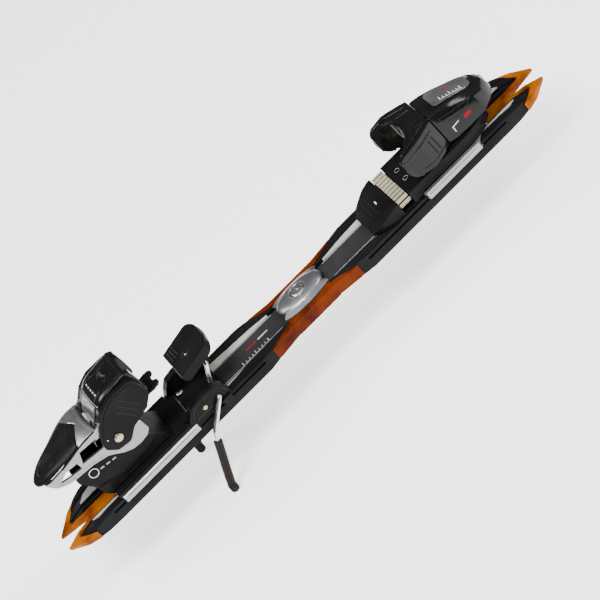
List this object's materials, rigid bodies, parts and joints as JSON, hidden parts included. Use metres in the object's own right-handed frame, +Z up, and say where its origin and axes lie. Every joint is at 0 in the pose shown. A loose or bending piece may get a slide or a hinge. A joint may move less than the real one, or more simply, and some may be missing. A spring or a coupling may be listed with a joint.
{
  "type": "downhill ski binding on a rail plate",
  "caption": "Downhill ski binding on a rail plate with amber dampers: sliding toe piece with a shuttling sole belt, step-in heel standing open, silver lever and a ski brake let down",
  "frame": {"origin": "on the underside of the rail plate, under the centre screw", "axes": "+X towards the ski tip, +Y to the left of the direction of travel, +Z up from the ski"},
  "size_m": [0.6064, 0.0912, 0.1669],
  "materials": {
    "rail_plate": "matte charcoal",
    "screw_steel": "bright zinc-plated steel",
    "band": "dark grey",
    "inlay": "light warm grey",
    "amber_damper": "translucent amber elastomer",
    "satin_silver": "satin silver",
    "track": "matte light silver",
    "gloss_black": "glossy black",
    "satin_black": "satin black",
    "smoky_window": "smoky grey window",
    "scale_white": "white indicator",
    "belt": "beige ribbed low-friction belt",
    "spring_steel": "spring steel",
    "yellow_zinc": "yellow zinc-plated steel, stood in by brass",
    "pad_rubber": "semi-gloss black"
  },
  "bodies": {
    "plate": {"rail_plate": "rail_plate", "plate_screw_1": "screw_steel", "plate_screw_2": "screw_steel", "plate_screw_3": "screw_steel", "plate_screw_4": "screw_steel", "connecting_band": "band", "inlay_front_left": "inlay", "inlay_front_right": "inlay", "inlay_rear_left": "inlay", "inlay_rear_right": "inlay", "center_damper": "amber_damper", "front_damper": "amber_damper", "rear_damper": "amber_damper", "center_cap": "satin_silver", "center_screw": "screw_steel"},
    "toe_base": {"toe_track": "track", "toe_pedestal": "gloss_black", "toe_post": "screw_steel"},
    "sole_belt": {"afd_belt": "belt"},
    "toe_head": {"toe_jaw": "gloss_black", "toe_housing": "gloss_black", "toe_window": "smoky_window", "toe_scale": "scale_white", "toe_spring": "spring_steel", "toe_piston": "screw_steel"},
    "toe_screw": {"toe_setting_screw": "screw_steel"},
    "heel_base": {"heel_track": "track", "heel_bracket": "satin_black", "heel_axle": "yellow_zinc", "brake_base": "satin_black", "brake_screw_left": "screw_steel", "brake_screw_right": "screw_steel", "brake_rivet_left": "yellow_zinc", "brake_rivet_right": "yellow_zinc", "brake_spring_left": "spring_steel", "brake_spring_right": "spring_steel"},
    "heel_head": {"heel_cup": "gloss_black", "heel_cheek_left": "satin_black", "heel_cheek_right": "satin_black", "heel_window": "smoky_window", "heel_spring": "spring_steel", "heel_plunger": "screw_steel", "heel_spur": "satin_black"},
    "heel_screw": {"heel_setting_screw": "screw_steel"},
    "heel_lever": {"lever_frame": "satin_silver", "lever_pad": "pad_rubber", "lever_shell": "satin_silver"},
    "brake_arms": {"brake_arm_left": "spring_steel", "brake_arm_right": "spring_steel", "brake_tip_left": "satin_black", "brake_tip_right": "satin_black"},
    "pedal": {"brake_pedal": "satin_black"}
  },
  "joints": [
    {"name": "toe_slide", "type": "slide", "parent": "plate", "child": "toe_base", "axis": [1, 0, 0], "range_m": [-0.012, 0.018]},
    {"name": "toe_swing", "type": "hinge", "parent": "toe_base", "child": "toe_head", "pos_m": [0.205, 0, 0.045], "axis": [0, 0, 1], "range_deg": [-20, 20], "stiffness_Nm_per_rad": 30},
    {"name": "belt_shuttle", "type": "slide", "parent": "toe_base", "child": "sole_belt", "axis": [0, 1, 0], "range_m": [-0.004, 0.004]},
    {"name": "toe_setting", "type": "hinge", "parent": "toe_head", "child": "toe_screw", "pos_m": [0.25, 0, 0.04], "axis": [1, 0, 0], "continuous": true},
    {"name": "heel_slide", "type": "slide", "parent": "plate", "child": "heel_base", "axis": [1, 0, 0], "range_m": [-0.01, 0.024]},
    {"name": "heel_open", "type": "hinge", "parent": "heel_base", "child": "heel_head", "pos_m": [-0.2055, 0, 0.063], "axis": [0, 1, 0], "range_deg": [0, 42]},
    {"name": "lever_press", "type": "hinge", "parent": "heel_base", "child": "heel_lever", "pos_m": [-0.2055, 0, 0.063], "axis": [0, 1, 0], "range_deg": [0, 51]},
    {"name": "heel_setting", "type": "hinge", "parent": "heel_head", "child": "heel_screw", "pos_m": [-0.17544, 0, 0.10285], "axis": [0.7431, 0, 0.6691], "continuous": true},
    {"name": "brake_fold", "type": "hinge", "parent": "heel_base", "child": "brake_arms", "pos_m": [-0.117, 0, 0.0215], "axis": [0, 1, 0], "range_deg": [0, 70], "stiffness_Nm_per_rad": 1, "springref_deg": -28.65},
    {"name": "pedal_tilt", "type": "hinge", "parent": "brake_arms", "child": "pedal", "pos_m": [-0.1045, 0, 0.0455], "axis": [0, 1, 0], "range_deg": [-58, 0]}
  ],
  "couplings": [
    {"joint": "lever_press", "follows": "heel_open", "ratio": 1.2},
    {"joint": "pedal_tilt", "follows": "brake_fold", "ratio": -0.82}
  ]
}
